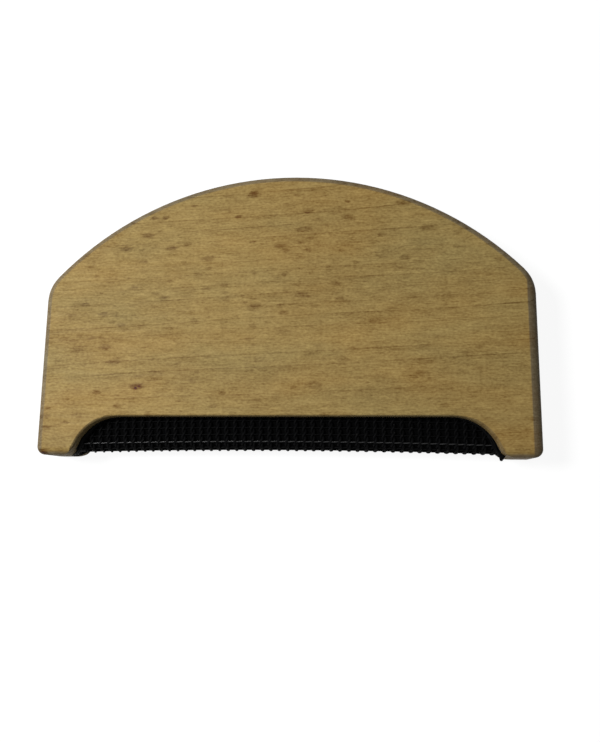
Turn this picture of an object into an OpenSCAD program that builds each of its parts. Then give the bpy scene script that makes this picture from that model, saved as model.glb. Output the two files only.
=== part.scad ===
// Sweater comb: a beech block with an arched top and two feet. A thin web of
// the same wood joins the feet, and a black mesh is wrapped round its lower
// edge. The edges of the mesh are glued into two slots at the root of the web.
// The comb lies on its back: X runs across its width, Y from the feet towards
// the arch, and Z from the back face to the front face. The origin is on the
// back face, halfway across the width and halfway up the height.

/* [Block] */
// Width across the straight sides
block_w = 95; // [90:1:104]
// Height from the soles of the feet to the top of the arch
block_h = 55.2; // [52:0.2:60]
// Thickness from back face to front face
block_t = 10; // [9.6:0.2:13]
// Radius of the arched top
crown_r = 62.4; // [60:0.2:68]
// Radius that blends the arch into each straight side
shoulder_r = 7; // [4:0.5:9]
// Radius of the outer edges and of the outer bottom corners
edge_r = 1.6; // [1.2:0.1:2.2]

/* [Scoops] */
// Distance between the feet, at the ends of the scoops' straight top
scoop_straight = 63.2; // [54:0.2:66]
// Height of the scoops above the soles
scoop_h = 7.4; // [7:0.2:8.4]
// Radius of the rounded ends of the scoops
scoop_end_r = 8.8; // [8.6:0.2:10]
// Radius of the inner bottom corner of each foot
toe_r = 3; // [2:0.2:3.4]
// Radius of the edge between the scoops and the faces
scoop_edge_r = 0.5; // [0.3:0.1:0.8]

/* [Web] */
// Thickness of the wooden web that carries the mesh
web_t = 3; // [2.6:0.2:3.4]
// Radius of the gentle arch along the web's lower edge
web_arch_r = 1360; // [1000:20:2000]
// Depth of the two slots that hold the edges of the mesh
slot_depth = 3; // [2.5:0.1:4]
// Width of each slot
slot_w = 1.35; // [1.3:0.05:1.6]

/* [Mesh] */
// Height of the mesh above the soles, halfway between the feet
mesh_gap = 1.1; // [0.9:0.1:1.8]
// Thickness of the black lining under the mesh
lining_t = 0.25; // [0.2:0.05:0.3]
// Diameter of the weft strands, which run along the web
weft_d = 0.34; // [0.3:0.02:0.36]
// Spacing of the weft strands, measured round the web
weft_pitch = 1.3; // [1.2:0.05:1.5]
// Thickness of the warp strands, which wrap round the web
warp_t = 0.34; // [0.3:0.02:0.36]
// Width of the warp strands
warp_w = 0.6; // [0.4:0.1:0.8]
// Spacing of the warp strands
warp_pitch = 1.66; // [1.5:0.02:2]

/* [Hidden] */

// Sides of a full circle: in the block's arcs, in sections, in strands and in
// the gentle arch of the web
arc_sides = 96;
section_sides = 24;
strand_sides = 16;
arch_sides = 720;

half_w = block_w / 2;
sole_y = -block_h / 2;
top_y = block_h / 2;
mid_z = block_t / 2;
over = 1;

// Curved surfaces stop this far short of the surfaces they run on from, so that
// no two surfaces merely touch
thin = 0.01;

// Centres of the arcs that make the outline. Each shoulder lies a hair inside
// the arch and the side, so that no two of their surfaces merely touch.
hair = 0.03;
crown_y = top_y - crown_r;
shoulder_x = half_w - hair - shoulder_r;
shoulder_y = crown_y + sqrt(pow(crown_r - hair - shoulder_r, 2) - pow(shoulder_x, 2));
shoulder_angle = atan2(shoulder_y - crown_y, shoulder_x);
corner_x = half_w - edge_r;
corner_y = sole_y + edge_r;
foot_rim = 10;

// Centres of the arcs at the ends of the scoops
scoop_top_y = sole_y + scoop_h;
end_x = scoop_straight / 2;
end_y = scoop_top_y - scoop_end_r;
toe_y = sole_y + toe_r;
toe_x = end_x + sqrt(pow(scoop_end_r + toe_r, 2) - pow(toe_y - end_y, 2));

// Layers on the web, as distances from its middle plane: lining, weft, warp
seat = 0.02;
lining_in = web_t / 2 + seat;
lining_out = lining_in + lining_t;
weft_mid = lining_out + seat + weft_d / 2;
warp_in = weft_mid + weft_d / 2 + seat;
warp_out = warp_in + warp_t;

// The web's lower edge is an arch about (0, arch_y). Its rounded nose is
// centred on the arch, and the layers follow it.
nose_y = sole_y + mesh_gap + warp_out;
arch_y = nose_y - web_arch_r;
slot_top_y = scoop_top_y + slot_depth;
edge_gap = 0.2;
mesh_top_y = slot_top_y - edge_gap;
mesh_end_r = scoop_end_r - edge_gap;

// Length of weft path from the middle of the nose to its end, and degrees in a
// radian
nose_s = PI / 2 * weft_mid;
radian = 180 / PI;

// Loose strands at the right foot. Each carries on from the end of a weft
// strand and bends round the foot's toe. For each: the weft strand, counted from
// the middle of the nose towards the front, the radius of the bend over the
// strand's distance from the toe's centre, and the degrees of the bend.
loose_bends = [
    [1, 1.05, 26],
    [-1, 1.4, 21],
    [2, 2.6, 19],
];

// Section of the block's edge, rounded at the outer side
module edge_section(inner, outer) {
    difference() {
        translate([inner, 0])
            square([outer - inner, block_t]);
        for (side = [0, 1])
            translate([outer, side * block_t])
                mirror([0, side])
                    rounding_section(edge_r);
    }
}

// What a rounding of radius r takes off a corner at the origin, whose solid
// lies towards -X and +Y. Its circle crosses the corner's two sides by a little.
module rounding_section(r) {
    difference() {
        translate([-r, -over])
            square(r + over);
        translate([thin - r, r - thin])
            circle(r, $fn = section_sides);
    }
}

// Straight run of edge along +Y, with its outer side at x = outer
module edge_bar(length, inner, outer) {
    translate([0, length, 0])
        rotate([90, 0, 0])
            linear_extrude(length)
                edge_section(inner, outer);
}

// Curved run of edge about the Z axis
module edge_turn(start, sweep, inner, outer) {
    rotate([0, 0, start])
        rotate_extrude(angle = sweep, $fn = arc_sides)
            edge_section(inner, outer);
}

// The block before it is cut: an arch on straight sides, made of straight and
// curved runs of edge and a flat core. The core's upper corners lie in the
// shoulders, at these shares of the radius of a shoulder's flat part. A hole
// in each shoulder's turn, with its own share, stays inside the core.
module blank() {
    corner_out = 0.7;
    corner_up = 0.4;
    turn_hole = 0.3;
    lap_angle = 5;
    flat_r = shoulder_r - edge_r;
    core_x = shoulder_x + corner_out * flat_r;
    core_top = shoulder_y + corner_up * flat_r;
    core_bottom = sole_y + foot_rim - over;
    translate([0, crown_y, 0])
        edge_turn(
            shoulder_angle,
            180 - 2 * shoulder_angle,
            core_top - crown_y - over,
            crown_r
        );
    for (side = [0, 1]) {
        mirror([side, 0, 0]) {
            translate([shoulder_x, shoulder_y, 0])
                edge_turn(
                    -lap_angle,
                    shoulder_angle + 2 * lap_angle,
                    turn_hole * flat_r,
                    shoulder_r
                );
            translate([shoulder_x, corner_y, 0])
                edge_bar(shoulder_y - corner_y, 0, half_w - shoulder_x);
            translate([corner_x, corner_y, 0])
                edge_turn(-90, 90, 0, edge_r);
        }
    }
    translate([-corner_x, sole_y + foot_rim, 0])
        rotate([0, 0, -90])
            edge_bar(2 * corner_x, 0, foot_rim);
    translate([-core_x, core_bottom, 0])
        cube([2 * core_x, core_top - core_bottom, block_t]);
}

// Section of a scoop's space, from the origin out to its wall at x = reach. It
// widens at both faces, where the wall's edge is rounded.
module space_section(reach) {
    translate([0, -over])
        square([reach, block_t + 2 * over]);
    for (side = [0, 1])
        translate([reach, side * block_t])
            mirror([1, 0])
                mirror([0, side])
                    rounding_section(scoop_edge_r);
}

// Space between the feet, through the whole thickness
module scoop_space() {
    below_y = sole_y - over;
    translate([-end_x, below_y, 0])
        rotate([90, 0, 90])
            linear_extrude(2 * end_x)
                space_section(scoop_top_y - below_y);
    for (side = [-1, 1])
        translate([side * end_x, end_y, 0])
            rotate_extrude($fn = arc_sides)
                space_section(scoop_end_r - thin);
}

// Section of a toe, from its centre out to its wall, rounded at both faces
module toe_section() {
    reach = toe_r - thin;
    difference() {
        translate([0, -2 * over])
            square([reach, block_t + 4 * over]);
        for (side = [0, 1])
            translate([reach, side * block_t])
                mirror([0, side])
                    rounding_section(scoop_edge_r);
    }
}

// What the rounded inner corner takes off the right foot
module toe_cut() {
    difference() {
        translate([0, 0, -over])
            linear_extrude(block_t + 2 * over)
                polygon([
                    [end_x, end_y],
                    [toe_x, toe_y],
                    [toe_x, sole_y - over],
                    [end_x, sole_y - over],
                ]);
        translate([toe_x, toe_y, 0])
            rotate_extrude($fn = arc_sides)
                toe_section();
    }
}

// Section of a tongue with a round nose at the origin: its middle plane runs
// towards +X
module tongue_section(half_t, length) {
    circle(half_t, $fn = section_sides);
    translate([0, -half_t])
        square([length, 2 * half_t]);
}

// Section of a layer wrapped round such a tongue
module wrap_section(inner, outer, length) {
    difference() {
        tongue_section(outer, length);
        tongue_section(inner, length + over);
    }
}

// Sweeps a section along the arch of the web, as far as x = reach on each side
module along_arch(reach) {
    half_angle = asin(reach / web_arch_r);
    translate([0, arch_y, 0])
        rotate_extrude(angle = 2 * half_angle, start = 90 - half_angle, $fn = arch_sides)
            translate([web_arch_r, mid_z])
                children();
}

// How far the arch has dropped at x
function arch_drop(x) = web_arch_r - sqrt(pow(web_arch_r, 2) - pow(x, 2));

// How far a strand at height y can run towards the foot
function reach_at(y) =
    y > scoop_top_y - edge_gap
        ? end_x - edge_gap
        : end_x + sqrt(pow(mesh_end_r, 2) - pow(y - end_y, 2));

module web() {
    along_arch(toe_x)
        tongue_section(web_t / 2, scoop_top_y + over - nose_y);
}

module slots() {
    slot_end = end_x - edge_gap / 2;
    for (side = [0, 1])
        translate([0, 0, mid_z])
            mirror([0, 0, side])
                translate([-slot_end, scoop_top_y - over, web_t / 2])
                    cube([2 * slot_end, slot_depth + over, slot_w]);
}

module block() {
    color("#d9b380") {
        difference() {
            union() {
                difference() {
                    blank();
                    scoop_space();
                    for (side = [0, 1])
                        mirror([side, 0, 0])
                            toe_cut();
                }
                web();
            }
            slots();
        }
    }
}

// Space that the mesh and its lining can fill: between the feet and up into
// the slots
module mesh_space() {
    translate([edge_gap - end_x, sole_y, 0])
        cube([2 * (end_x - edge_gap), mesh_top_y - sole_y, block_t]);
    for (side = [-1, 1])
        translate([side * end_x, end_y, 0])
            cylinder(r = mesh_end_r, h = block_t, $fn = arc_sides);
}

// Black cloth under the mesh
module lining() {
    color("#101010")
        intersection() {
            along_arch(toe_x)
                wrap_section(lining_in, lining_out, mesh_top_y - nose_y);
            mesh_space();
        }
}

// One strand wrapped round the web, from slot to slot
module warp_strand(x) {
    translate([x - warp_w / 2, nose_y - arch_drop(x), mid_z])
        rotate([90, 0, 90])
            linear_extrude(warp_w)
                wrap_section(warp_in, warp_out, mesh_top_y - nose_y);
}

module warp_strands() {
    per_side = floor((reach_at(nose_y - warp_out) - warp_w / 2) / warp_pitch + 0.5);
    color("#262626")
        for (i = [0.5 - per_side : per_side - 0.5]) {
            x = i * warp_pitch;
            if (abs(x) + warp_w / 2 < end_x - edge_gap)
                warp_strand(x);
            else
                intersection() {
                    warp_strand(x);
                    mesh_space();
                }
        }
}

// Where the weft passes at distance s from the middle of the nose, measured
// round the web, towards the front face or, below zero, the back: its height
// above the nose's centre, and its distance from the middle plane
function weft_place(s) =
    abs(s) < nose_s
        ? weft_mid * [-cos(s / weft_mid * radian), sin(s / weft_mid * radian)]
        : [abs(s) - nose_s, sign(s) * weft_mid];

// One strand along the web
module weft_strand(s) {
    place = weft_place(s);
    along_arch(reach_at(nose_y + place[0]))
        translate(place)
            circle(d = weft_d, $fn = strand_sides);
}

module weft_strands() {
    per_side = floor((mesh_top_y - nose_y + nose_s) / weft_pitch);
    color("#202020")
        for (i = [-per_side : per_side])
            weft_strand(i * weft_pitch);
}

// One strand that has come loose and bends round the toe
module loose_strand(weft, spread, degrees) {
    place = weft_place(weft * weft_pitch);
    root_x = reach_at(nose_y + place[0]) + seat + weft_d / 2;
    root_y = nose_y + place[0] - arch_drop(root_x);
    bend_x = spread * (toe_x - root_x);
    bend_y = spread * (toe_y - root_y);
    translate([root_x + bend_x, root_y + bend_y, mid_z + place[1]])
        rotate([0, 0, atan2(-bend_y, -bend_x)])
            rotate_extrude(angle = degrees, $fn = arc_sides)
                translate([norm([bend_x, bend_y]), 0])
                    circle(d = weft_d, $fn = strand_sides);
}

module loose_strands() {
    color("#1a1a1a")
        for (bend = loose_bends)
            loose_strand(bend[0], bend[1], bend[2]);
}

// Bead of glue that holds the mesh in a slot
module glue_bead() {
    bead_in = warp_out + seat;
    bead_end = end_x - edge_gap;
    bead_y = scoop_top_y + 2 * edge_gap;
    color("#2b2622")
        translate([-bead_end, bead_y, mid_z + bead_in])
            cube([2 * bead_end, mesh_top_y - bead_y, web_t / 2 + slot_w - bead_in]);
}

module front_glue() {
    glue_bead();
}

module rear_glue() {
    translate([0, 0, block_t])
        mirror([0, 0, 1])
            glue_bead();
}

block();
lining();
warp_strands();
weft_strands();
loose_strands();
front_glue();
rear_glue();
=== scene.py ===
"""Looks of a sweater comb: a beech block, a black net wrapped over a black
lining, and a frayed tuft of its strands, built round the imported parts."""

import math
import random

import bpy
from mathutils import Matrix, Vector


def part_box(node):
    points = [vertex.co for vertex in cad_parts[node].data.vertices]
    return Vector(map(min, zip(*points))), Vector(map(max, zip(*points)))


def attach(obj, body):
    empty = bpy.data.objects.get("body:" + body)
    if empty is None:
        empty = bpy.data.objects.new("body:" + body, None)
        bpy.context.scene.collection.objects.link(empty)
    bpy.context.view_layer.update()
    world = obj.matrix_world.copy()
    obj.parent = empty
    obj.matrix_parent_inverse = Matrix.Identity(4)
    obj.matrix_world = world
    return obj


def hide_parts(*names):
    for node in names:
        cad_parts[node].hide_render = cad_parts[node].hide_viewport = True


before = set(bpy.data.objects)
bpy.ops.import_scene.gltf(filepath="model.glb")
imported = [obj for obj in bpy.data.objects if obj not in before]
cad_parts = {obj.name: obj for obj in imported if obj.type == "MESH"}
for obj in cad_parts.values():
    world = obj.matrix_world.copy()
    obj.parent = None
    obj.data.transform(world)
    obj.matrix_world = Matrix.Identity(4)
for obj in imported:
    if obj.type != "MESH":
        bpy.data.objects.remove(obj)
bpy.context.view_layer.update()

MM = 0.001
X_AXIS = Vector((1, 0, 0))
Z_AXIS = Vector((0, 0, 1))

# Camera: where it stands, which way it looks, and its focal length over the
# frame's longer side
CAMERA_AT = Vector((16.859, -34.025, 138.820)) * MM
CAMERA_FORWARD = Vector((-0.10165, 0.16951, -0.98027))
CAMERA_UP = Vector((0.00585, 0.98546, 0.16980))
FRAME_SIDE_PX = 742
FOCAL_PX = 700
SENSOR_MM = 36

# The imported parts' sizes, in millimetres: the feet's walls, the web's arch and
# what is wrapped round it
block_low, block_high = (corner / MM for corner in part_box("block"))
lining_low, lining_high = (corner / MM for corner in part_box("lining"))
SOLE_Y = block_low.y
MID_Z = (block_low.z + block_high.z) / 2
SCOOP_H = 7.4
SCOOP_TOP_Y = SOLE_Y + SCOOP_H
WALL_R = 8.8
WALL_CENTRE_X = 31.6
WALL_CENTRE_Y = SCOOP_TOP_Y - WALL_R
TOE_R = 3
TOE_Y = SOLE_Y + TOE_R
TOE_X = WALL_CENTRE_X + math.sqrt((WALL_R + TOE_R) ** 2 - (TOE_Y - WALL_CENTRE_Y) ** 2)
TOE_START_Y = WALL_CENTRE_Y + (TOE_Y - WALL_CENTRE_Y) * WALL_R / (WALL_R + TOE_R)
WEB_ARCH_R = 1360
MESH_GAP = 1.1
MESH_OUT = 2.49
NOSE_Y = SOLE_Y + MESH_GAP + MESH_OUT
LINING_OUT = (lining_high.z - lining_low.z) / 2
NET_TOP_Y = lining_high.y

# The net: pairs of flat warp filaments twist about each other, half a turn
# from one weft to the next, and each weft passes between the two. The wefts
# nearest the middle of the fold have swollen down to the lining. The worn weft
# lies where the net folds under the web and rubs on the knitwear.
WEFT_D = 0.24
WEFT_PITCH = 1.3
WEFT_SHIFT = -0.2
WORN_WEFT = 2
SWOLLEN_WEFTS = 1
WARP_WIDE = 0.46
WARP_DEEP = 0.22
WARP_PITCH = 1.66
WARP_SPREAD = 0.25
WARPS_PER_SIDE = 24
EDGE_STRANDS = 12
EDGE_OUT = {-1: 3.2, 1: 2.6}
STRAND_STEP = 0.22
STRAND_SIDES = 8
WALL_GAP = 0.05
SEAT = 0.02
NET_OUT = LINING_OUT + SEAT + WARP_DEEP + WEFT_D / 2

# Distances round the nose are measured this far out from the web's middle
PITCH_OUT = 1.96
NOSE_S = math.pi / 2 * PITCH_OUT

# The frayed tuft: where its strands start and end, and how far the longest
# reaches below the soles. The longest lies at this share of the tuft's width.
TUFT_STRANDS = 18
TUFT_STEPS = 12
TUFT_D = 0.3
TUFT_ROOT_X = 39.2
TUFT_TIP_X = 40.2
TUFT_TIP_WIDE = 0.9
TUFT_TIP_Z = 7
TUFT_DROP = 0.59
TUFT_LONGEST = 0.2

# The tree's own directions in the block: the grain runs along X, and the
# growth rings lie square to RINGS. Rays run along RINGS too, and show as
# flecks that are narrow along ACROSS.
RINGS = Vector((-0.025, 0.5, 0.86)).normalized()
ACROSS = Vector((0, 0.86, -0.5)).normalized()
RING_WIDTH = 1.2
RING_SHIFT = 0.25

# Colours, as shares of red, green and blue light
BEECH = (0.305, 0.204, 0.064)
SAWN_ENDS = (0.185, 0.138, 0.073)
# Painted shade: a browner, darker colour for the scoop's rims and walls
SHADED_SCOOP_WALLS = (0.17, 0.118, 0.045)
PAINTED_SHADE_BLACK = (0.003, 0.003, 0.003)
# Painted shade, near-black, for the web and the corners where the net meets the feet's walls
NET_BLACK = (0.0013, 0.0013, 0.0015)
LINT = (0.022, 0.021, 0.02)
CLOTH_HOLLOWS = (0.0006, 0.0006, 0.0006)
CLOTH_THREADS = (0.002, 0.002, 0.0022)
GLUE_DARK = (0.012, 0.009, 0.006)
GLUE_LIGHT = (0.03, 0.022, 0.014)

# How far the painted shade reaches from the web's middle, and how close the cloth's
# threads lie
PAINTED_SHADE_DEEP = 2.9
THREADS_PER_MM = 2.5

# The lamp's place and width, in metres, and its power in watts
KEY_AT = Vector((-0.17, 0.02, 0.26))
KEY_SIZE = 0.1
KEY_POWER = 0.97


def photo_camera():
    """The camera, where the photograph was taken from."""
    data = bpy.data.cameras.new("camera")
    data.sensor_width = SENSOR_MM
    data.lens = SENSOR_MM * FOCAL_PX / FRAME_SIDE_PX
    data.clip_start = 0.01
    data.clip_end = 20
    camera = bpy.data.objects.new("camera", data)
    bpy.context.scene.collection.objects.link(camera)
    right = CAMERA_FORWARD.cross(CAMERA_UP).normalized()
    up = right.cross(CAMERA_FORWARD).normalized()
    turn = Matrix((right, up, -CAMERA_FORWARD.normalized())).transposed()
    camera.matrix_world = Matrix.Translation(CAMERA_AT) @ turn.to_4x4()
    bpy.context.scene.camera = camera


class Graph:
    """A material's shader nodes, added so that a formula reads in order."""

    def __init__(self, name):
        self.material = bpy.data.materials.new(name)
        self.material.use_nodes = True
        self.nodes = self.material.node_tree.nodes
        self.links = self.material.node_tree.links
        self.shader = self.nodes["Principled BSDF"]

    def put(self, socket, value):
        """Joins another node's socket to this one, or sets a number, vector or colour."""
        if isinstance(value, bpy.types.NodeSocket):
            self.links.new(value, socket)
        elif socket.type == "RGBA":
            socket.default_value = (*value, 1)
        else:
            socket.default_value = value

    def finish(self, **values):
        """Sets the shader's sockets, each named with _ for a space."""
        for name, value in values.items():
            self.put(self.shader.inputs[name.replace("_", " ")], value)
        return self.material

    def place(self):
        """The point on the surface, in millimetres."""
        node = self.nodes.new("ShaderNodeTexCoord")
        return self.vector("MULTIPLY", node.outputs["Object"], (1 / MM,) * 3)

    def normal(self):
        return self.nodes.new("ShaderNodeTexCoord").outputs["Normal"]

    def math(self, operation, *values):
        node = self.nodes.new("ShaderNodeMath")
        node.operation = operation
        for socket, value in zip(node.inputs, values):
            self.put(socket, value)
        return node.outputs["Value"]

    def total(self, *values):
        result = values[0]
        for value in values[1:]:
            result = self.math("ADD", result, value)
        return result

    def times(self, *values):
        result = values[0]
        for value in values[1:]:
            result = self.math("MULTIPLY", result, value)
        return result

    def vector(self, operation, first, second):
        node = self.nodes.new("ShaderNodeVectorMath")
        node.operation = operation
        self.put(node.inputs[0], first)
        self.put(node.inputs[1], second)
        return node.outputs["Value" if operation == "DOT_PRODUCT" else "Vector"]

    def scaled(self, first, scale):
        node = self.nodes.new("ShaderNodeVectorMath")
        node.operation = "SCALE"
        self.put(node.inputs["Vector"], first)
        self.put(node.inputs["Scale"], scale)
        return node.outputs["Vector"]

    def joined(self, x, y, z):
        node = self.nodes.new("ShaderNodeCombineXYZ")
        for socket, value in zip(node.inputs, (x, y, z)):
            self.put(socket, value)
        return node.outputs["Vector"]

    def split(self, vector):
        node = self.nodes.new("ShaderNodeSeparateXYZ")
        self.put(node.inputs["Vector"], vector)
        return node.outputs["X"], node.outputs["Y"], node.outputs["Z"]

    def step(self, value, start, end):
        """Rises smoothly from 0 at start to 1 at end."""
        node = self.nodes.new("ShaderNodeMapRange")
        node.interpolation_type = "SMOOTHSTEP"
        self.put(node.inputs["Value"], value)
        self.put(node.inputs["From Min"], start)
        self.put(node.inputs["From Max"], end)
        return node.outputs["Result"]

    def mix(self, share, first, second):
        node = self.nodes.new("ShaderNodeMix")
        node.data_type = "RGBA"
        self.put(node.inputs["Factor"], share)
        colours = [socket for socket in node.inputs if socket.type == "RGBA"]
        self.put(colours[0], first)
        self.put(colours[1], second)
        return next(socket for socket in node.outputs if socket.type == "RGBA")

    def noise(self, at, per_mm, detail=2.0, shift=0.0):
        """Noise about zero, mostly between -1 and 1, with per_mm waves to the millimetre."""
        node = self.nodes.new("ShaderNodeTexNoise")
        stretched = self.vector("MULTIPLY", at, per_mm)
        self.put(node.inputs["Vector"], self.vector("ADD", stretched, (shift,) * 3))
        node.inputs["Scale"].default_value = 1
        node.inputs["Detail"].default_value = detail
        centred = self.math("SUBTRACT", node.outputs["Fac"], 0.5)
        return self.times(centred, 4)

    def chance(self, value):
        """A random number between 0 and 1 for each whole value."""
        node = self.nodes.new("ShaderNodeTexWhiteNoise")
        node.noise_dimensions = "1D"
        self.put(node.inputs["W"], value)
        return node.outputs["Value"]

    def cells(self, at):
        """Distance to the nearest of scattered points, and three random numbers for it."""
        node = self.nodes.new("ShaderNodeTexVoronoi")
        self.put(node.inputs["Vector"], at)
        node.inputs["Scale"].default_value = 1
        return node.outputs["Distance"], self.split(node.outputs["Color"])

    def bump(self, height, depth_mm):
        node = self.nodes.new("ShaderNodeBump")
        node.inputs["Strength"].default_value = 1
        node.inputs["Distance"].default_value = depth_mm * MM
        self.put(node.inputs["Height"], height)
        return node.outputs["Normal"]


def growth_rings(g, at):
    """Darkness that builds up over each year's wood and ends in a thin line."""
    wander = g.noise(at, (0.012, 0.07, 0.07), detail=1)
    turns = g.total(
        g.times(g.vector("DOT_PRODUCT", at, tuple(RINGS)), 1 / RING_WIDTH),
        g.times(wander, 0.35),
        RING_SHIFT,
    )
    part = g.math("FRACT", turns)
    chance = g.chance(g.math("FLOOR", turns))
    uneven = g.total(1, g.times(g.noise(at, (0.08, 0.4, 0.4), shift=7), 0.9))
    line = g.times(g.step(part, 0.84, 0.93), g.math("SUBTRACT", 1, g.step(part, 0.94, 1)))
    late_wood = g.times(g.step(part, 0.2, 0.9), g.math("SUBTRACT", 1, g.step(part, 0.92, 1)))
    strength = g.times(g.total(0.1, chance), uneven)
    return g.times(g.total(g.times(line, 0.2), g.times(late_wood, 0.09)), strength)


def ray_flecks(g, at, cell, reach, share, shift):
    """Spindle-shaped marks, each from 0 to 1, in cells of the given size in millimetres."""
    tree_at = g.joined(
        g.vector("DOT_PRODUCT", at, (1, 0, 0)),
        g.vector("DOT_PRODUCT", at, tuple(ACROSS)),
        g.vector("DOT_PRODUCT", at, tuple(RINGS)),
    )
    scaled = g.vector("DIVIDE", g.vector("ADD", tree_at, (shift,) * 3), cell)
    distance, (first, second, third) = g.cells(scaled)
    radius = g.times(g.total(0.5, second), reach)
    mark = g.math("SUBTRACT", 1, g.step(g.math("DIVIDE", distance, radius), 0.35, 1))
    present = g.math("LESS_THAN", first, share)
    return g.times(mark, present, g.total(0.3, g.times(third, 0.7)))


def beech():
    """Plain beech, sawn and lightly sanded: growth rings, streaks, pores and ray flecks."""
    g = Graph("beech")
    at = g.place()
    ragged = g.joined(
        g.times(g.noise(at, (1.1, 2.4, 2.4), shift=3), 0.4),
        g.times(g.noise(at, (0.6, 2.0, 2.0), shift=5), 0.2),
        0,
    )
    rough_at = g.vector("ADD", at, ragged)

    patches = g.noise(at, (0.04, 0.09, 0.09), detail=2, shift=11)
    warmth = g.noise(at, (0.05, 0.14, 0.14), detail=3, shift=31)
    mottle = g.noise(at, (0.32, 0.75, 0.75), detail=3, shift=23)
    streaks = g.noise(at, (0.12, 1.5, 1.5), detail=2, shift=13)
    fine_streaks = g.noise(at, (0.45, 3.4, 3.4), detail=2, shift=17)
    grain = g.noise(at, (1.7, 2.8, 2.8), detail=3, shift=29)
    pores = g.step(g.noise(at, (0.8, 4.5, 4.5), detail=1, shift=19), 0.3, 1.0)
    large_flecks = ray_flecks(g, rough_at, cell=(5.6, 2.2, 30), reach=0.27, share=0.75, shift=2)
    small_flecks = ray_flecks(g, rough_at, cell=(2.8, 1.2, 14), reach=0.32, share=0.5, shift=40)
    # The flecks grow fainter towards the right end
    x, y, z = g.split(at)
    flecked = g.math("SUBTRACT", 1, g.times(g.step(x, -30, 45), 0.4))

    darkness = g.total(
        growth_rings(g, at),
        g.times(large_flecks, flecked, 0.72),
        g.times(small_flecks, flecked, 0.42),
        g.times(mottle, 0.15),
        g.times(streaks, 0.1),
        g.times(fine_streaks, 0.18),
        g.times(grain, 0.27),
        g.times(patches, 0.08),
        g.times(pores, 0.18),
    )
    # Darker wood is browner: it loses more blue than red, and warmer wood more still
    lost = g.vector(
        "ADD",
        g.scaled((0.84, 1.0, 1.25), darkness),
        g.scaled((-0.02, 0.05, 0.14), warmth),
    )
    kept = g.vector("SUBTRACT", (1, 1, 1), lost)
    normal_x, normal_y, _ = g.split(g.normal())
    sideways = g.math("SQRT", g.total(g.times(normal_x, normal_x), g.times(normal_y, normal_y)))
    # The soles and the scoop's ceiling keep the face's colour further round their rims
    down = g.step(g.math("DIVIDE", g.times(normal_y, -1), sideways), 0.85, 1)
    on_rim = g.step(sideways, g.total(0.08, g.times(down, 0.4)), g.total(0.3, g.times(down, 0.5)))
    # Painted shade: the right end, turned away from the lamp, is painted the darkest, and its rim
    # starts sharply
    shaded_right_end = g.step(x, block_high.x - 2, block_high.x - 1.65)
    # The scoop's rims and walls are painted browner and darker than the rims and sides outside it, as
    # painted shade in the recess
    outside = g.math(
        "MAXIMUM",
        g.step(g.math("ABSOLUTE", x), 41, 43),
        g.step(y, SCOOP_TOP_Y + 0.6, SCOOP_TOP_Y + 1.2),
    )
    # At the right end the rims are painted darker still, as painted shade
    rims = g.scaled(
        g.mix(outside, SHADED_SCOOP_WALLS, SAWN_ENDS),
        g.math("SUBTRACT", 1, g.times(shaded_right_end, 0.32)),
    )
    wood_and_rims = g.mix(
        g.math("MAXIMUM", on_rim, shaded_right_end),
        g.vector("MULTIPLY", BEECH, kept),
        g.vector("MULTIPLY", rims, kept),
    )
    # Painted shade: the web, and the feet's walls at its ends where the net meets them, are painted
    # near-black
    in_painted_shade = g.times(
        g.math("LESS_THAN", g.math("ABSOLUTE", g.math("SUBTRACT", z, MID_Z)), PAINTED_SHADE_DEEP),
        g.math("LESS_THAN", g.math("ABSOLUTE", x), WALL_CENTRE_X + WALL_R),
        g.math("GREATER_THAN", y, SOLE_Y + MESH_GAP),
        g.math("LESS_THAN", y, NET_TOP_Y),
    )
    colour = g.mix(in_painted_shade, wood_and_rims, PAINTED_SHADE_BLACK)

    height = g.total(
        g.times(streaks, 0.5),
        g.times(fine_streaks, 0.4),
        g.times(pores, -0.8),
        g.times(large_flecks, -0.3),
    )
    return g.finish(
        Base_Color=colour,
        Roughness=g.total(0.66, g.times(streaks, 0.05), g.times(large_flecks, -0.08)),
        Normal=g.bump(height, 0.02),
        Specular_IOR_Level=0.2,
    )


def black_net(name, sheen, roughness):
    """Black polymer filament with scratches along it and a little lint."""
    g = Graph(name)
    at = g.place()
    scratches = g.noise(at, (9, 3, 3), detail=2)
    lint = g.step(g.noise(at, (2.2, 2.2, 2.2), detail=3, shift=9), 0.5, 1.3)
    return g.finish(
        Base_Color=g.mix(lint, NET_BLACK, LINT),
        Roughness=g.total(roughness, g.times(scratches, 0.08)),
        Normal=g.bump(scratches, 0.01),
        Specular_IOR_Level=sheen,
    )


def black_cloth():
    """Plain-woven black cloth: threads over and under each other."""
    g = Graph("black_cloth")
    x, y, z = g.split(g.place())
    turn_per_mm = THREADS_PER_MM * 2 * math.pi
    along = g.math("SINE", g.times(x, turn_per_mm))
    round_web = g.math("SINE", g.times(g.total(y, z), turn_per_mm))
    weave = g.times(along, round_web)
    shade = g.step(weave, -1, 1)
    return g.finish(
        Base_Color=g.mix(shade, CLOTH_HOLLOWS, CLOTH_THREADS),
        Roughness=g.total(0.9, g.times(weave, 0.05)),
        Normal=g.bump(weave, 0.05),
        Specular_IOR_Level=0.03,
    )


def dark_glue():
    """Set glue, dark and a little glossy, with shallow waves."""
    g = Graph("dark_glue")
    waves = g.noise(g.place(), (0.6, 1.2, 1.2), detail=3)
    return g.finish(
        Base_Color=g.mix(g.step(waves, -1, 1), GLUE_DARK, GLUE_LIGHT),
        Roughness=g.total(0.32, g.times(waves, 0.06)),
        Normal=g.bump(waves, 0.06),
    )


def arch_drop(x):
    """How far the web's arch has dropped at x."""
    return WEB_ARCH_R - math.sqrt(WEB_ARCH_R**2 - x * x)


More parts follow.
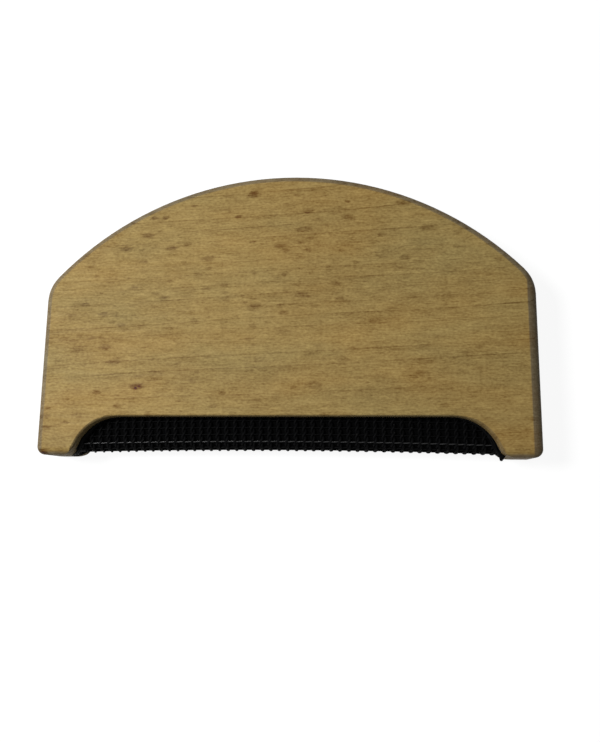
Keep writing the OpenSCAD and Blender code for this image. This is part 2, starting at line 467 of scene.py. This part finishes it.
def out_of_web(s):
    """The direction straight out of the web at distance s round its nose."""
    turn = max(-math.pi / 2, min(math.pi / 2, s / PITCH_OUT))
    return Vector((0, -math.cos(turn), math.sin(turn)))


def web_point(x, s, out):
    """A point at x across the web, s round its nose towards the front, and out from its middle."""
    above = max(0, abs(s) - NOSE_S)
    centre = Vector((x, NOSE_Y - arch_drop(x) + above, MID_Z))
    return centre + out * out_of_web(s)


def wall_x(y):
    """Where a foot's wall stands at height y."""
    if y > SCOOP_TOP_Y:
        return WALL_CENTRE_X
    if y < TOE_START_Y:
        return TOE_X - math.sqrt(TOE_R**2 - (y - TOE_Y) ** 2)
    return WALL_CENTRE_X + math.sqrt(WALL_R**2 - (y - WALL_CENTRE_Y) ** 2)


def height_at(x):
    """How high a strand at x across the web can reach: into the slot, or up to the wall."""
    if abs(x) < WALL_CENTRE_X:
        return NET_TOP_Y
    out = min(abs(x) - WALL_CENTRE_X, WALL_R - WALL_GAP)
    return WALL_CENTRE_Y + math.sqrt(WALL_R**2 - out**2) - WALL_GAP


def strand_length(x, y):
    """Length of a strand at x, from the middle of the nose up to height y."""
    above = y - (NOSE_Y - arch_drop(x))
    if above > 0:
        return NOSE_S + above
    return PITCH_OUT * math.acos(min(1, -above / NET_OUT))


def strand_piece(name, strands, material):
    """A piece of closed tubes. Each strand is a list of rings: centre, half width and half depth."""
    vertices = []
    faces = []
    sides = range(STRAND_SIDES)
    for rings in strands:
        first = len(vertices)
        last = first + (len(rings) - 1) * STRAND_SIDES
        for centre, wide, deep in rings:
            for k in sides:
                turn = 2 * math.pi * k / STRAND_SIDES
                vertices.append((centre + math.cos(turn) * wide + math.sin(turn) * deep) * MM)
        for row in range(first, last, STRAND_SIDES):
            for k in sides:
                a = row + k
                b = row + (k + 1) % STRAND_SIDES
                faces.append((a, b, b + STRAND_SIDES, a + STRAND_SIDES))
        faces.append(tuple(first + k for k in reversed(sides)))
        faces.append(tuple(last + k for k in sides))
    mesh = bpy.data.meshes.new(name)
    mesh.from_pydata(vertices, [], faces)
    mesh.shade_smooth()
    mesh.materials.append(material)
    piece = bpy.data.objects.new(name, mesh)
    bpy.context.scene.collection.objects.link(piece)
    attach(piece, "root")
    return piece


def warp_filament(x, side, length, chance):
    """One of a pair of filaments from slot to slot: it crosses the other at every weft."""
    steps = 2 * math.ceil(length / STRAND_STEP)
    lean = chance.uniform(-0.05, 0.05)
    spread = WARP_SPREAD * chance.uniform(0.85, 1.15)
    lift = (WEFT_D + WARP_DEEP) / 2
    rings = []
    for i in range(steps + 1):
        s = length * (2 * i / steps - 1)
        twist = math.pi * (s - WEFT_SHIFT) / WEFT_PITCH
        across = x + lean + side * spread * math.sin(twist)
        centre = web_point(across, s, NET_OUT + side * lift * math.cos(twist))
        rings.append((centre, X_AXIS * WARP_WIDE / 2, out_of_web(s) * WARP_DEEP / 2))
    return rings


def edge_strand(foot, chance):
    """A strand of the net's cut edge. It is squeezed against a foot's wall and follows it."""
    top_y = SCOOP_TOP_Y - chance.uniform(0.2, 0.5)
    length = strand_length(wall_x(top_y), top_y)
    steps = 2 * math.ceil(length / STRAND_STEP)
    from_wall = chance.uniform(0.18, 0.6)
    out = chance.uniform(LINING_OUT + 0.2, EDGE_OUT[foot])
    start = chance.uniform(0, 6)
    rings = []
    for i in range(steps + 1):
        s = length * (2 * i / steps - 1)
        height = web_point(wall_x(SOLE_Y + MESH_GAP), s, out).y
        sway = 0.06 * math.sin(2 * s + start)
        lift = 0.08 * math.sin(3 * s + start)
        across = wall_x(height) - from_wall - sway
        centre = web_point(foot * across, s, out + lift)
        rings.append((centre, X_AXIS * WARP_WIDE / 2, out_of_web(s) * WARP_DEEP / 2))
    return rings


def warp_net(material):
    """All the strands that wrap round the web, those of the cut edges too."""
    chance = random.Random(5)
    strands = []
    for i in range(-WARPS_PER_SIDE, WARPS_PER_SIDE):
        x = (i + 0.5) * WARP_PITCH
        length = strand_length(x, height_at(abs(x) + WARP_SPREAD + WARP_WIDE / 2))
        for side in (-1, 1):
            strands.append(warp_filament(x, side, length, chance))
    for foot in (-1, 1):
        for _ in range(EDGE_STRANDS):
            strands.append(edge_strand(foot, chance))
    piece = strand_piece("warp_net", strands, material)
    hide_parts("warp_strands")


def weft_filament(s, swelling):
    """One strand along the web, from wall to wall. Swelling is how much deeper than round it is."""
    reach = wall_x(web_point(WALL_CENTRE_X, s, NET_OUT).y) - WALL_GAP
    steps = math.ceil(reach / STRAND_STEP)
    out = out_of_web(s)
    half_up = X_AXIS.cross(out) * WEFT_D / 2
    half_deep = out * (WEFT_D + swelling) / 2
    rings = []
    for i in range(steps + 1):
        x = reach * (2 * i / steps - 1)
        wave = 0.03 * math.sin(2 * math.pi * x / WARP_PITCH)
        rings.append((web_point(x, s + wave, NET_OUT - swelling / 2), half_up, half_deep))
    return rings


def weft_net(material, worn_material):
    """All the strands that run along the web. The worn one is a piece of its own."""
    count = math.floor((NET_TOP_Y - NOSE_Y + NOSE_S) / WEFT_PITCH)
    worn = []
    strands = []
    for k in range(-count, count + 1):
        swelling = WARP_DEEP if abs(k) <= SWOLLEN_WEFTS else 0
        strand = weft_filament(k * WEFT_PITCH + WEFT_SHIFT, swelling)
        if k == WORN_WEFT:
            worn.append(strand)
        else:
            strands.append(strand)
    pieces = (
        strand_piece("weft_net", strands, material),
        strand_piece("worn_weft", worn, worn_material),
    )
    for piece in pieces:
        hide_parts("weft_strands")


def curve_point(points, t):
    """A point on the cubic curve with these four handles."""
    u = 1 - t
    near = u**3 * points[0] + 3 * u * u * t * points[1]
    return near + 3 * u * t * t * points[2] + t**3 * points[3]


def tuft_strand(share, chance):
    """One frayed end, from the net's front fold down past the toe. Share runs from left to right."""
    root_x = TUFT_ROOT_X + 0.4 * chance.random()
    root = web_point(root_x, chance.uniform(0.4, 2), NET_OUT + 0.1)
    drop = TUFT_DROP - 1.2 * abs(share - TUFT_LONGEST) ** 1.2
    tip_z = TUFT_TIP_Z + chance.uniform(-0.6, 0.6)
    tip = Vector((TUFT_TIP_X + TUFT_TIP_WIDE * share, SOLE_Y - drop, tip_z))
    leaving = root + Vector((0.5, -0.1, 0.1))
    arriving = tip + Vector((-0.2, 0.9, 0))
    handles = (root, leaving, arriving, tip)
    rings = []
    for k in range(TUFT_STEPS + 1):
        t = k / TUFT_STEPS
        half = TUFT_D / 2 * (1 - 0.6 * t)
        ahead = (curve_point(handles, t + 0.01) - curve_point(handles, t - 0.01)).normalized()
        wide = ahead.cross(Z_AXIS).normalized()
        rings.append((curve_point(handles, t), wide * half, wide.cross(ahead) * half))
    return rings


def tuft(material):
    """Frayed weft ends that have slipped out of the net at the right foot's toe."""
    chance = random.Random(3)
    last = TUFT_STRANDS - 1
    strands = [tuft_strand(i / last, chance) for i in range(TUFT_STRANDS)]
    piece = strand_piece("frayed_tuft", strands, material)
    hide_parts("loose_strands")


def paint(node, material):
    """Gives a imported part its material."""
    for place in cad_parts[node].material_slots:
        place.material = material


def key_light():
    """One soft lamp, high up at the left, aimed at the comb's middle."""
    data = bpy.data.lights.new("key", "AREA")
    data.shape = "DISK"
    data.size = KEY_SIZE
    data.energy = KEY_POWER
    lamp = bpy.data.objects.new("key", data)
    bpy.context.scene.collection.objects.link(lamp)
    lamp.location = KEY_AT
    lamp.rotation_euler = (-KEY_AT).to_track_quat("-Z", "Y").to_euler()


def seen_directly(nodes, links):
    """1 for what the camera sees, straight or through gloss or glass, and 0 for light's own paths."""
    path = nodes.new("ShaderNodeLightPath")
    seen = path.outputs["Is Camera Ray"]
    for name in ("Is Glossy Ray", "Is Transmission Ray"):
        either = nodes.new("ShaderNodeMath")
        either.operation = "MAXIMUM"
        links.new(seen, either.inputs[0])
        links.new(path.outputs[name], either.inputs[1])
        seen = either.outputs[0]
    return seen


def floor():
    """A pale floor that is white to the camera and dimmer to the light that falls on the comb."""
    half = 3
    mesh = bpy.data.meshes.new("floor")
    corners = [(-half, -half, 0), (half, -half, 0), (half, half, 0), (-half, half, 0)]
    mesh.from_pydata(corners, [], [(0, 1, 2, 3)])
    piece = bpy.data.objects.new("floor", mesh)
    bpy.context.scene.collection.objects.link(piece)
    material = bpy.data.materials.new("floor")
    material.use_nodes = True
    nodes = material.node_tree.nodes
    links = material.node_tree.links
    plain = nodes["Principled BSDF"]
    plain.inputs["Base Color"].default_value = (0.25, 0.25, 0.25, 1)
    plain.inputs["Roughness"].default_value = 0.9
    bright = nodes.new("ShaderNodeBsdfPrincipled")
    bright.inputs["Base Color"].default_value = (0.15, 0.15, 0.15, 1)
    bright.inputs["Roughness"].default_value = 0.9
    bright.inputs["Specular IOR Level"].default_value = 0
    bright.inputs["Emission Color"].default_value = (1, 1, 1, 1)
    bright.inputs["Emission Strength"].default_value = 0.92
    either = nodes.new("ShaderNodeMixShader")
    links.new(seen_directly(nodes, links), either.inputs["Fac"])
    links.new(plain.outputs["BSDF"], either.inputs[1])
    links.new(bright.outputs["BSDF"], either.inputs[2])
    links.new(either.outputs["Shader"], nodes["Material Output"].inputs["Surface"])
    mesh.materials.append(material)


def surroundings():
    """White for the camera, and a dim, faintly blue light from all sides."""
    world = bpy.data.worlds.new("world")
    bpy.context.scene.world = world
    world.use_nodes = True
    nodes = world.node_tree.nodes
    links = world.node_tree.links
    dim = nodes["Background"]
    dim.inputs["Color"].default_value = (0.93, 0.97, 1, 1)
    dim.inputs["Strength"].default_value = 0.1
    white = nodes.new("ShaderNodeBackground")
    white.inputs["Strength"].default_value = 1
    either = nodes.new("ShaderNodeMixShader")
    links.new(seen_directly(nodes, links), either.inputs["Fac"])
    links.new(dim.outputs["Background"], either.inputs[1])
    links.new(white.outputs["Background"], either.inputs[2])
    links.new(either.outputs["Shader"], nodes["World Output"].inputs["Surface"])


photo_camera()
floor()
surroundings()
key_light()

paint("block", beech())
paint("lining", black_cloth())
glue = dark_glue()
paint("front_glue", glue)
paint("rear_glue", glue)
net = black_net("black_net", sheen=0.04, roughness=0.6)
worn_net = black_net("worn_net", sheen=0.38, roughness=0.3)
warp_net(net)
weft_net(net, worn_net)
tuft(net)

bpy.context.scene.view_settings.view_transform = "Standard"
